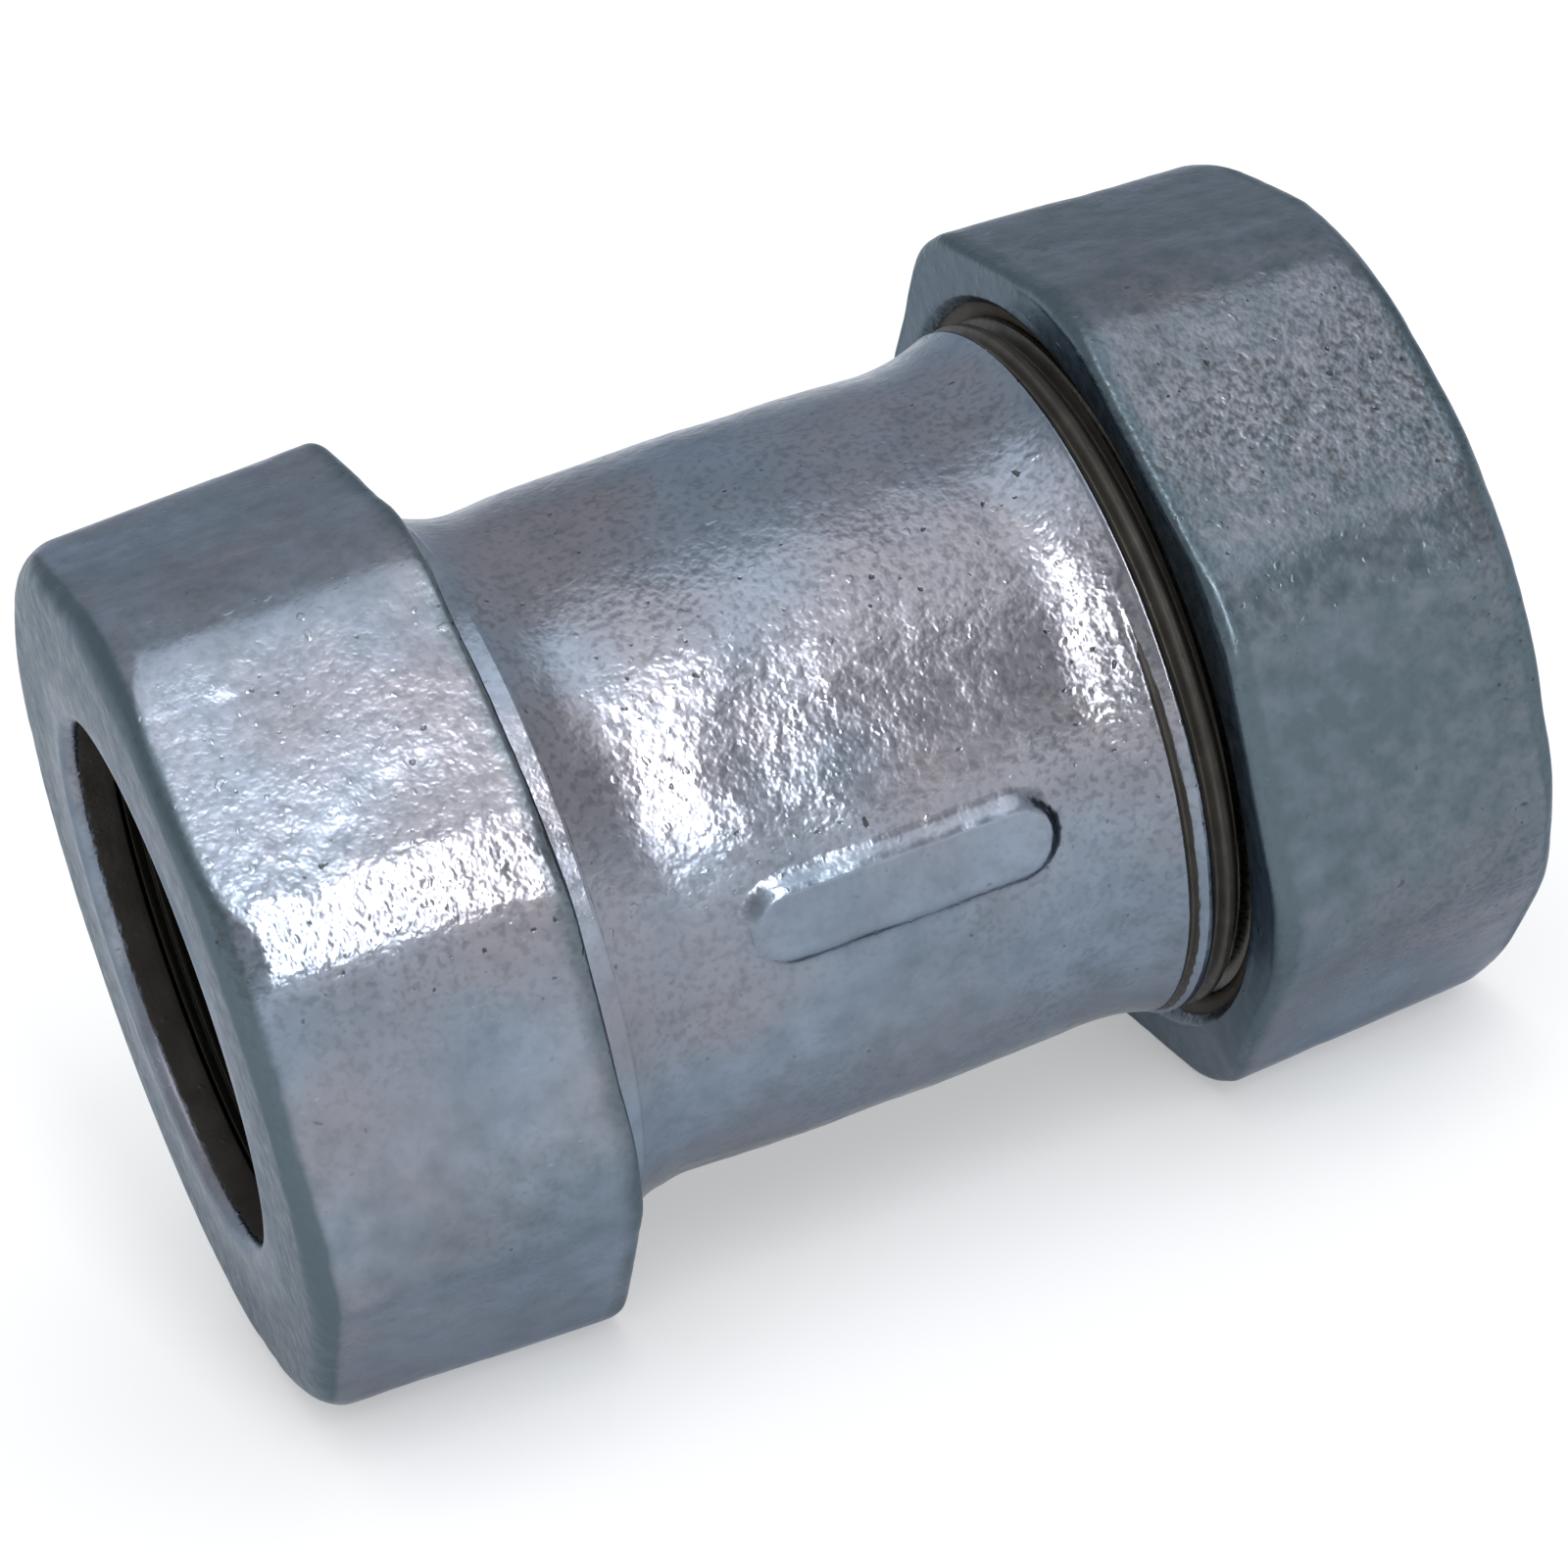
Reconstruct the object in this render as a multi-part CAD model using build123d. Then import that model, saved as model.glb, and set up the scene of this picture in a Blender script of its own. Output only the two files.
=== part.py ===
# Repair coupling for steel pipe: a cast body with a threaded end on each side,
# and two octagonal union nuts that squeeze a rubber gasket and grip ring on the pipe.
# Millimetres. X is the pipe's axis, Z points up, the origin is the body's middle.
import os
from math import cos, pi, radians, tan

from build123d import *

# Pipe that the coupling takes
pipe_dia = 48.3

# Cast body, its radii counted outwards from the pipe and its lengths inwards from the end
body_half_length = 46.0
pipe_to_land_gap = 0.75
seat_depth = 8.5
seat_step = 2.5
seat_taper = 16.4
land_length = 6.5
core_run_out = 4.0
mouth_wall = 3.1
thread_length = 18.6
thread_end_chamfer = 1.2
flare_stand_out = 0.4
flare_length = 9.4
barrel_inset = 0.75
barrel_wall = 5.2
neck_inset = 0.5

# Raised blank pad on the side of the barrel
pad_length = 30.2
pad_width = 8.6
pad_height = 0.9
pad_slope = 40.0

# Octagonal union nut
nut_sides = 8
thread_gap = 0.35
nut_wall = 6.5
nut_draft = 2.4
nut_corner_round = 13.1
nut_corner_trim = 0.25
nut_setback = 3.3
nut_back_bevel = 0.8
nut_back_round = 2.0
nut_front_bevel = 1.3
nut_front_round = 4.0
countersink = 2.25
relief_width = 3.4
relief_depth = 1.0
lip_thickness = 4.5
lip_round = 1.3
pipe_to_lip_gap = 0.45

# Gasket, thrust washer and split grip ring inside each nut
pipe_to_gasket_gap = 0.65
gasket_stand_out = 1.7
gasket_seat_gap = 0.1
gasket_edge_round = 0.5
washer_gap = 0.2
washer_thickness = 1.6
washer_side_gap = 2.35
pipe_to_washer_gap = 0.85
grip_length = 5.6
grip_side_gap = 2.55
grip_taper = 22.0
grip_seat_gap = 0.3
grip_end_gap = 0.4
pipe_to_grip_gap = 0.55
grip_teeth = 5
tooth_depth = 0.9
split_width = 3.2

# Radii that follow from the sizes
pipe_radius = pipe_dia / 2
lip_radius = pipe_radius + pipe_to_lip_gap
land_radius = pipe_radius + pipe_to_land_gap
seat_slope = tan(radians(seat_taper))
seat_inner_radius = land_radius + seat_step
seat_mouth_radius = seat_inner_radius + seat_depth * seat_slope
thread_radius = seat_mouth_radius + mouth_wall
flare_radius = thread_radius + flare_stand_out
barrel_radius = thread_radius - barrel_inset
neck_radius = barrel_radius - neck_inset
core_radius = barrel_radius - barrel_wall
thread_bore_radius = thread_radius + thread_gap
nut_flats_radius = thread_bore_radius + nut_wall
washer_radius = thread_bore_radius - washer_side_gap
grip_large_radius = thread_bore_radius - grip_side_gap
grip_slope = tan(radians(grip_taper))
grip_small_radius = grip_large_radius - grip_length * grip_slope

# Places along the axis that follow from the sizes
seat_start = body_half_length - seat_depth
core_half_length = seat_start - land_length - core_run_out
flare_place = body_half_length - thread_length
neck_place = flare_place - flare_length
gasket_end = body_half_length + gasket_stand_out
washer_start = gasket_end + washer_gap
grip_start = washer_start + washer_thickness
grip_end = grip_start + grip_length
lip_back = grip_end + grip_end_gap
nut_front = lip_back + lip_thickness
nut_place = flare_place + nut_setback
nut_length = nut_front - nut_place


def turned(*points):
    """A ring or blank turned about the X axis from its half section, given as (x, radius)."""
    outline = Polyline(*points, close=True)
    return revolve(make_face(outline), Axis.X, 360)


def body_blank():
    """The casting's outside: a slightly swelled barrel that necks in and flares to the threads."""
    with BuildPart() as blank:
        with BuildSketch(Plane.XY):
            with BuildLine():
                barrel = ThreePointArc(
                    (-neck_place, neck_radius), (0, barrel_radius), (neck_place, neck_radius)
                )
                right = TangentArc(barrel @ 1, (flare_place, flare_radius), tangent=barrel % 1)
                left = TangentArc(barrel @ 0, (-flare_place, flare_radius), tangent=-(barrel % 0))
                chamfer_start = body_half_length - thread_end_chamfer
                for flare, side in ((right, 1), (left, -1)):
                    Polyline(
                        flare @ 1,
                        (side * flare_place, thread_radius),
                        (side * chamfer_start, thread_radius),
                        (side * body_half_length, thread_radius - thread_end_chamfer),
                        (side * body_half_length, 0),
                    )
                Line((-body_half_length, 0), (body_half_length, 0))
            make_face()
        revolve(axis=Axis.X)
    return blank.part


def body_bore():
    """What is hollow: a cored middle, a land beside it and a conical gasket seat at each end."""
    run_out_end = core_half_length + core_run_out
    # The cone goes on a little past the end face, so that the cut is clean
    past = 1.0
    half = [
        (core_half_length, core_radius),
        (run_out_end, land_radius),
        (seat_start, land_radius),
        (seat_start, seat_inner_radius),
        (body_half_length + past, seat_mouth_radius + past * seat_slope),
        (body_half_length + past, 0),
    ]
    other = [(-x, radius) for x, radius in reversed(half)]
    return turned(*other, *half)


def side_pad():
    """The raised blank pad: a stadium with sloped sides on the flank that faces -Y."""
    # It starts below the barrel's skin at the pad's edge and rises past the skin
    root = barrel_radius - 2 * pad_height
    rise = barrel_radius + pad_height - root
    foot = Plane(origin=(0, -root, 0), x_dir=(1, 0, 0), z_dir=(0, -1, 0))
    spread = (rise - pad_height) * tan(radians(pad_slope))
    outline = foot * SlotOverall(pad_length + 2 * spread, pad_width + 2 * spread)
    return extrude(outline, rise, taper=pad_slope)


def make_body():
    return body_blank() + side_pad() - body_bore()


def nut_prism():
    """The drafted octagon with wide rounded corners and bevelled ends, largest beside the body."""
    back = Plane(origin=(nut_place, 0, 0), x_dir=(0, 1, 0), z_dir=(1, 0, 0))
    flats = RegularPolygon(nut_flats_radius, nut_sides, major_radius=False, rotation=180 / nut_sides)
    section = fillet(flats.vertices(), nut_corner_round)
    prism = extrude(back * section, nut_length, taper=nut_draft)
    prism = chamfer(prism.faces().sort_by(Axis.X)[0].edges(), nut_back_bevel)
    return chamfer(prism.faces().sort_by(Axis.X)[-1].edges(), nut_front_bevel)


def nut_turning():
    """The round blank that trims the corners and rolls them over at each end, in two cones."""
    draft_slope = tan(radians(nut_draft))
    flats_to_corner = (nut_flats_radius - nut_corner_round) * (1 / cos(pi / nut_sides) - 1)
    back = nut_flats_radius + flats_to_corner - nut_corner_trim
    front = back - nut_length * draft_slope
    # The two cones meet on the middle of the quarter round that they stand for
    inset = 1 - cos(pi / 4)
    return turned(
        (nut_place, 0),
        (nut_place, back - nut_back_round),
        (nut_place + inset * nut_back_round, back - inset * nut_back_round),
        (nut_place + nut_back_round, back - nut_back_round * draft_slope),
        (nut_front - nut_front_round, front + nut_front_round * draft_slope),
        (nut_front - inset * nut_front_round, front - inset * nut_front_round),
        (nut_front, front - nut_front_round),
        (nut_front, 0),
    )


def nut_bore():
    """Countersink, thread bore, relief, cone for the grip ring and a rounded lip for the pipe."""
    relief_end = grip_start + grip_seat_gap
    relief_start = relief_end - relief_width
    # The nut's cone lies a seat gap outside the grip ring's cone, measured square to it
    cone_shift = grip_seat_gap / cos(radians(grip_taper))
    cone_large = grip_large_radius + cone_shift - (relief_end - grip_start) * grip_slope
    cone_small = grip_small_radius + cone_shift - (lip_back - grip_end) * grip_slope
    mouth = lip_radius + lip_round
    with BuildPart() as bore:
        with BuildSketch(Plane.XY):
            with BuildLine():
                inside = Polyline(
                    (nut_place, 0),
                    (nut_place, thread_bore_radius + countersink),
                    (nut_place + countersink, thread_bore_radius),
                    (relief_start - relief_depth, thread_bore_radius),
                    (relief_start, thread_bore_radius + relief_depth),
                    (relief_end, thread_bore_radius + relief_depth),
                    (relief_end, cone_large),
                    (lip_back, cone_small),
                    (lip_back, lip_radius),
                    (nut_front - lip_round, lip_radius),
                )
                rounding = RadiusArc(inside @ 1, (nut_front, mouth), lip_round)
                Polyline(rounding @ 1, (nut_front, 0), (nut_place, 0))
            make_face()
        revolve(axis=Axis.X)
    return bore.part


def make_nut():
    return (nut_prism() & nut_turning()) - nut_bore()


def make_gasket():
    """Rubber ring whose back is the seat's cone and whose front stands out of the body."""
    inner = pipe_radius + pipe_to_gasket_gap
    start = seat_start + gasket_seat_gap
    outer = seat_inner_radius - gasket_seat_gap
    return turned(
        (start, inner + gasket_edge_round),
        (start, outer),
        (gasket_end - gasket_edge_round, outer + (gasket_end - start) * seat_slope),
        (gasket_end, outer + (gasket_end - start) * seat_slope - gasket_edge_round),
        (gasket_end, inner + gasket_edge_round),
        (gasket_end - gasket_edge_round, inner),
        (start + gasket_edge_round, inner),
    )


def make_washer():
    """Flat steel ring between the gasket and the grip ring."""
    inner = pipe_radius + pipe_to_washer_gap
    return turned(
        (washer_start, inner),
        (washer_start, washer_radius),
        (grip_start, washer_radius),
        (grip_start, inner),
    )


def make_grip_ring():
    """Split ring with a conical outside and saw teeth that bite the pipe."""
    tip = pipe_radius + pipe_to_grip_gap
    pitch = grip_length / grip_teeth
    teeth = []
    for index in range(grip_teeth):
        start = grip_end - index * pitch
        teeth.append((start, tip))
        teeth.append((start - pitch, tip + tooth_depth))
    ring = turned(*teeth, (grip_start, grip_large_radius), (grip_end, grip_small_radius))
    slot_height = 2 * grip_large_radius
    slot = Box(2 * grip_length, split_width, slot_height)
    middle = (grip_start + grip_end) / 2
    return ring - Pos(middle, 0, slot_height / 2) * slot


os.makedirs("parts", exist_ok=True)
export_step(make_body(), "parts/body.step")
ring_pieces = {
    "nut": make_nut(),
    "gasket": make_gasket(),
    "thrust_washer": make_washer(),
    "grip_ring": make_grip_ring(),
}
# Each end has the same pieces: the left end is the right one turned half round about Z
for side, turn in (("right", 0), ("left", 180)):
    for name, solid in ring_pieces.items():
        export_step(Rot(0, 0, turn) * solid, f"parts/{name}_{side}.step")
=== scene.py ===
import bpy
import numpy as np
from math import acos, asin, cos, pi, radians, sin, tan
from mathutils import Matrix, Vector


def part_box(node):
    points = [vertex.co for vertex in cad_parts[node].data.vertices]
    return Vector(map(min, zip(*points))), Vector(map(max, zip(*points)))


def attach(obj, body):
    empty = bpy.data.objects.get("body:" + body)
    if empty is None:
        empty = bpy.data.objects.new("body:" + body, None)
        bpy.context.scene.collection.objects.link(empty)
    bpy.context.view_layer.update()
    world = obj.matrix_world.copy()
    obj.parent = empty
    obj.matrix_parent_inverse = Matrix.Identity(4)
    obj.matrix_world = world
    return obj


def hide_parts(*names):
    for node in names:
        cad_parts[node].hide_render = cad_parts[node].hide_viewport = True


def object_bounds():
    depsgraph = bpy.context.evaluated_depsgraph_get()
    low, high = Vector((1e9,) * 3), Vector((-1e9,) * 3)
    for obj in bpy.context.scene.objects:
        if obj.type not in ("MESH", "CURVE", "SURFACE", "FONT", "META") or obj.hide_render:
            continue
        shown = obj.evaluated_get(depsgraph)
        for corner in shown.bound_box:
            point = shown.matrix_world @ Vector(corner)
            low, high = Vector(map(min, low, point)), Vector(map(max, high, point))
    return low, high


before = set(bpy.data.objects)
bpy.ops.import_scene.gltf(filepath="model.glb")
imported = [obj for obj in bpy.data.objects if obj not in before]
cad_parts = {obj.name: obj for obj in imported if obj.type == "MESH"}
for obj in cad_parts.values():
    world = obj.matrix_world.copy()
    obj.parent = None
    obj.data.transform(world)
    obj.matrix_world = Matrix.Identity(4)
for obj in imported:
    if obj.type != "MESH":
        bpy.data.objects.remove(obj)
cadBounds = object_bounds()

mm = 0.001  # shapes are worked out in millimetres and turned to metres as their mesh is made


def linearColour(hexText):  # sRGB hex to the linear colour that shaders use
    parts = np.array([int(hexText[i:i + 2], 16) for i in (1, 3, 5)]) / 255
    linear = np.where(parts <= 0.04045, parts / 12.92, ((parts + 0.055) / 1.055) ** 2.4)
    return (*linear.tolist(), 1.0)


def addNode(tree, kind, inputs=None, **settings):
    # an input is a plain value, a socket, or a node, whose first live output is then linked
    node = tree.nodes.new(kind)
    for key, value in settings.items():
        setattr(node, key, value)
    for key, value in (inputs or {}).items():
        if isinstance(value, bpy.types.Node):
            value = next(socket for socket in value.outputs if socket.enabled)
        if isinstance(value, bpy.types.NodeSocket):
            tree.links.new(value, node.inputs[key])
        else:
            node.inputs[key].default_value = value
    return node


def newMaterial(name):
    material = bpy.data.materials.new(name)
    material.use_nodes = True
    material.node_tree.nodes.clear()
    return material, material.node_tree


def perMetre(sizeMm):  # a pattern's scale from the real size of one cell
    return 1 / (sizeMm * mm)


def boxOf(node):  # a node's box at rest in millimetres
    low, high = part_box(node)
    return np.array(low) / mm, np.array(high) / mm


def smoothStep(low, high, value):  # 0 below low and 1 above high, by 3 t squared less 2 t cubed
    t = np.clip((value - low) / (high - low), 0, 1)
    return t * t * (3 - 2 * t)


def softMin(a, b, blend):  # the smaller of two, with the crease between them rounded off
    h = np.clip(0.5 + 0.5 * (b - a) / blend, 0, 1)
    return b + (a - b) * h - blend * h * (1 - h)


def waves(points, size, seed, count=28):
    # smooth random lumps: a sum of sine waves in random directions, each about one size long
    rng = np.random.default_rng(seed)
    direction = rng.normal(size=(count, 3))
    direction /= np.linalg.norm(direction, axis=1)[:, None]
    length = size * rng.uniform(0.7, 1.5, count)
    phase = rng.uniform(0, 2 * pi, count)
    total = np.zeros(points.shape[:-1])
    for way, span, shift in zip(direction, length, phase):
        total += np.sin(points @ way * (2 * pi / span) + shift)
    return total / np.sqrt(count / 2)


def faceTurn(points):  # degrees from the -Y side over the top: 0 faces -Y, 90 up, -90 down
    return np.degrees(np.arctan2(points[..., 2], -points[..., 1]))


def patchSum(points, patches):
    # a bell for each patch (x, turn, reach in x, reach in turn, amount): amount times e to the
    # power of minus the squared distances from its middle, each over its reach
    turn = faceTurn(points)
    total = np.zeros(points.shape[:-1])
    for x, middle, reachX, reachTurn, amount in patches:
        turned = (turn - middle + 180) % 360 - 180
        away = ((points[..., 0] - x) / reachX) ** 2 + (turned / reachTurn) ** 2
        total += amount * np.exp(-away)
    return total


def roundedPath(corners, step):
    # corners are (x, radius, rounding): straight runs joined by tangent arcs, sampled by step
    points = []
    count = len(corners)
    places = [np.array(corner[:2], float) for corner in corners]
    for i, corner in enumerate(corners):
        here, before, after = places[i], places[i - 1], places[(i + 1) % count]
        back = (before - here) / np.linalg.norm(before - here)
        ahead = (after - here) / np.linalg.norm(after - here)
        half = acos(np.clip(back @ ahead, -1, 1)) / 2
        rounding = corner[2]
        reach = rounding / tan(half)
        if rounding <= 0:
            points.append(here[None])
            continue
        middle = here + (back + ahead) / np.linalg.norm(back + ahead) * rounding / sin(half)
        t = np.linspace(0, 1, max(4, int(rounding * (pi - 2 * half) / step) + 2))[:, None]
        chord = (here + back * reach) * (1 - t) + (here + ahead * reach) * t - middle
        points.append(middle + chord / np.linalg.norm(chord, axis=1)[:, None] * rounding)
    path = []
    for i in range(count):
        start, end = points[i][-1], points[(i + 1) % count][0]
        runs = max(1, int(np.linalg.norm(end - start) / step))
        t = np.linspace(0, 1, runs + 1)[1:-1, None]
        path += [points[i], start * (1 - t) + end * t]
    return np.concatenate(path)


def aroundAxis(x, radius, angle, side=1):
    # (x, radius cos angle, radius sin angle), with x and radius by rows and angle by columns;
    # side -1 gives the left end, which is the right one turned half round Z
    x, radius, angle = np.broadcast_arrays(x, radius, angle)
    return np.stack([side * x, side * radius * np.cos(angle), radius * np.sin(angle)], -1)


def gridNormals(points):  # unit normals of a grid closed both ways, from its neighbours' differences
    along = np.roll(points, -1, 0) - np.roll(points, 1, 0)
    around = np.roll(points, -1, 1) - np.roll(points, 1, 1)
    normal = np.cross(along, around)
    size = np.linalg.norm(normal, axis=2)[..., None]
    outward = 1 if (points * normal).sum() > 0 else -1
    return outward * normal / np.maximum(size, 1e-12)


def gridMesh(name, points, closeColumns=True):
    # one quad between each four neighbours; rows close into a loop, and so may columns,
    # and where columns don't, a flat face closes each end
    rows, columns = points.shape[:2]
    index = np.arange(rows * columns).reshape(rows, columns)
    nextRow = np.roll(index, -1, 0)
    stop = columns if closeColumns else columns - 1
    quads = np.stack([index, np.roll(index, -1, 1), np.roll(nextRow, -1, 1), nextRow], 2)
    quads = quads[:, :stop].reshape(-1, 4)
    corner = points.reshape(-1, 3)[quads]
    area = np.cross(corner[:, 2] - corner[:, 0], corner[:, 3] - corner[:, 1])
    inside = (corner.mean(1) * area).sum() < 0
    faces = (quads[:, ::-1] if inside else quads).tolist()
    if not closeColumns:
        ends = [index[:, 0].tolist(), index[::-1, -1].tolist()]
        faces += [end[::-1] for end in ends] if inside else ends
    mesh = bpy.data.meshes.new(name)
    mesh.from_pydata((points.reshape(-1, 3) * mm).tolist(), [], faces)
    mesh.polygons.foreach_set("use_smooth", np.ones(len(faces), bool))
    mesh.update()
    piece = bpy.data.objects.new(name, mesh)
    bpy.context.scene.collection.objects.link(piece)
    return piece


def paintSkin(piece, **layers):  # a named number on each vertex, which the finishes read
    for name, values in layers.items():
        layer = piece.data.attributes.new(name, "FLOAT", "POINT")
        layer.data.foreach_set("value", values.reshape(-1).astype(np.float32))


def giveFinishes(piece, materials, finish):  # each face takes the finish of its first corner
    for material in materials:
        piece.data.materials.append(material)
    piece.data.polygons.foreach_set("material_index", finish.reshape(-1).astype(np.int32))


# Hot-dip galvanised malleable iron. Zinc froze over a sand-cast skin, so the eye gets a glossy
# blue-grey metal: soft swells everywhere, and in crusty patches a fine orange peel whose hollows carry
# painted shade, low blisters, tiny darker pits and bright pimples. Teal-grey patina, and painted shade in
# the same teal-grey on the nuts, dull it in places, and where the skin is cut away, oiled iron shows.
zincLook = {
    # pit is the grey of the painted shade in the peel's hollows, and also of the darker pits
    "pale": "#8794a4", "dull": "#7b8694", "lilac": "#89868c", "patina": "#58656d", "pit": "#474a4d",
    "edgeTint": "#ccd1d8",  # an old coat reflects a little less at its edges than clean metal
    "iron": "#514d47", "oil": "#2a2723",
    "swellMm": 3.4, "swellDepth": 0.06, "peelMm": 0.74, "peelDepth": 0.052,
    "blisterMm": 1.5, "blisterDepth": 0.036, "pitMm": 0.8, "pitDepth": 0.04,
    "pimpleMm": 1.0, "pimpleDepth": 0.035, "grainMm": 0.25, "grainDepth": 0.004,
    "patchMm": 13, "lilacMm": 22, "stainMm": 3.0,
    # where each noise starts and stops to count
    "pitRange": (0.79, 0.88), "pimpleRange": (0.73, 0.87), "patchRange": (0.35, 0.65),
    "lilacRange": (0.45, 0.75), "lilacMost": 0.9, "crustWarmth": 0.16,
    "patinaRange": (0.5, 1.35), "stainShare": 0.9,
    "hollowRange": (0.52, 0.34), "hollowShade": 0.3, "cutRange": (0.95, 1.05),
    "shineRange": (0.3, 0.7), "roughLow": 0.15, "roughHigh": 0.27,
    "roughPatina": 0.12, "roughIron": 0.25, "metallicIron": 0.4,
}


def galvanisedCasting(name, look):
    # height is swell + crust x (peel + blisters - pits) + pimples + grain, each its own noise
    material, tree = newMaterial(name)
    place = addNode(tree, "ShaderNodeTexCoord").outputs["Object"]
    crust = addNode(tree, "ShaderNodeAttribute", attribute_name="crust").outputs["Fac"]
    patina = addNode(tree, "ShaderNodeAttribute", attribute_name="patina").outputs["Fac"]
    cutAway = addNode(tree, "ShaderNodeAttribute", attribute_name="cutAway").outputs["Fac"]
    noise = {}
    for layer, detail in (("swell", 1.0), ("peel", 1.0), ("blister", 1.0), ("pit", 0.0), ("pimple", 0.0),
                          ("grain", 0.0), ("patch", 2.0), ("lilac", 2.0), ("stain", 3.0)):
        noise[layer] = addNode(tree, "ShaderNodeTexNoise", {
            "Vector": place, "Scale": perMetre(look[layer + "Mm"]), "Detail": detail})
    pitMask = addNode(tree, "ShaderNodeMapRange", {
        "Value": noise["pit"], "From Min": look["pitRange"][0], "From Max": look["pitRange"][1]},
        interpolation_type="SMOOTHSTEP")
    pimpleMask = addNode(tree, "ShaderNodeMapRange", {
        "Value": noise["pimple"], "From Min": look["pimpleRange"][0], "From Max": look["pimpleRange"][1]},
        interpolation_type="SMOOTHSTEP")
    height = addNode(tree, "ShaderNodeMath", {0: noise["blister"], 1: look["blisterDepth"]}, operation="MULTIPLY")
    height = addNode(tree, "ShaderNodeMath", {
        0: noise["peel"], 1: look["peelDepth"], 2: height}, operation="MULTIPLY_ADD")
    height = addNode(tree, "ShaderNodeMath", {
        0: pitMask, 1: -look["pitDepth"], 2: height}, operation="MULTIPLY_ADD")
    swelled = addNode(tree, "ShaderNodeMath", {0: noise["swell"], 1: look["swellDepth"]}, operation="MULTIPLY")
    height = addNode(tree, "ShaderNodeMath", {0: height, 1: crust, 2: swelled}, operation="MULTIPLY_ADD")
    height = addNode(tree, "ShaderNodeMath", {
        0: pimpleMask, 1: look["pimpleDepth"], 2: height}, operation="MULTIPLY_ADD")
    height = addNode(tree, "ShaderNodeMath", {
        0: noise["grain"], 1: look["grainDepth"], 2: height}, operation="MULTIPLY_ADD")
    bump = addNode(tree, "ShaderNodeBump", {"Height": height, "Distance": mm})
    # colour: two zinc greys in patches, a lilac cast, the greener patina with painted shade, then painted shade in
    # the peel's hollows and a darker grey in the pits
    patchMask = addNode(tree, "ShaderNodeMapRange", {
        "Value": noise["patch"], "From Min": look["patchRange"][0], "From Max": look["patchRange"][1]})
    warmed = addNode(tree, "ShaderNodeMath", {
        0: crust, 1: look["crustWarmth"], 2: noise["lilac"]}, operation="MULTIPLY_ADD")
    lilacMask = addNode(tree, "ShaderNodeMapRange", {
        "Value": warmed, "From Min": look["lilacRange"][0], "From Max": look["lilacRange"][1],
        "To Max": look["lilacMost"]})
    # the patina and, on the nuts, painted shade share one teal-grey, with a ragged edge from the stain noise
    ragged = addNode(tree, "ShaderNodeMath", {
        0: noise["stain"], 1: look["stainShare"], 2: patina}, operation="MULTIPLY_ADD")
    patinaMask = addNode(tree, "ShaderNodeMapRange", {
        "Value": ragged, "From Min": look["patinaRange"][0], "From Max": look["patinaRange"][1]})
    # painted shade: the peel's low places are painted towards the pit grey, as far as the crust reaches
    hollowShadeRamp = addNode(tree, "ShaderNodeMapRange", {
        "Value": noise["peel"], "From Min": look["hollowRange"][0], "From Max": look["hollowRange"][1],
        "To Max": look["hollowShade"]})
    paintedHollowShade = addNode(tree, "ShaderNodeMath", {0: hollowShadeRamp, 1: crust}, operation="MULTIPLY", use_clamp=True)
    # the pits are painted a darker grey too, as far as the crust reaches
    pitDarkening = addNode(tree, "ShaderNodeMath", {0: pitMask, 1: crust}, operation="MULTIPLY")
    tone = linearColour(look["dull"])
    for mask, shade in ((patchMask, "pale"), (lilacMask, "lilac"), (patinaMask, "patina"),
                        (paintedHollowShade, "pit"), (pitDarkening, "pit")):
        tone = addNode(tree, "ShaderNodeMix", {0: mask, 6: tone, 7: linearColour(look[shade])}, data_type="RGBA")
    # bare iron, with an edge that follows the blisters
    iron = addNode(tree, "ShaderNodeMix", {
        0: noise["stain"], 6: linearColour(look["oil"]), 7: linearColour(look["iron"])}, data_type="RGBA")
    edge = addNode(tree, "ShaderNodeMath", {0: noise["blister"], 1: cutAway}, operation="ADD")
    cutMask = addNode(tree, "ShaderNodeMapRange", {
        "Value": edge, "From Min": look["cutRange"][0], "From Max": look["cutRange"][1]})
    colour = addNode(tree, "ShaderNodeMix", {0: cutMask, 6: tone, 7: iron}, data_type="RGBA")
    rough = addNode(tree, "ShaderNodeMapRange", {
        "Value": noise["blister"], "From Min": look["shineRange"][0], "From Max": look["shineRange"][1],
        "To Min": look["roughHigh"], "To Max": look["roughLow"]})
    rough = addNode(tree, "ShaderNodeMath", {
        0: patinaMask, 1: look["roughPatina"], 2: rough}, operation="MULTIPLY_ADD")
    rough = addNode(tree, "ShaderNodeMath", {
        0: cutMask, 1: look["roughIron"], 2: rough}, operation="MULTIPLY_ADD")
    metallic = addNode(tree, "ShaderNodeMapRange", {
        "Value": cutMask, "To Min": 1.0, "To Max": look["metallicIron"]})
    shader = addNode(tree, "ShaderNodeBsdfPrincipled", {
        "Base Color": colour, "Metallic": metallic, "Roughness": rough, "Normal": bump,
        "Specular Tint": linearColour(look["edgeTint"])})
    addNode(tree, "ShaderNodeOutputMaterial", {"Surface": shader})
    return material


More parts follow.
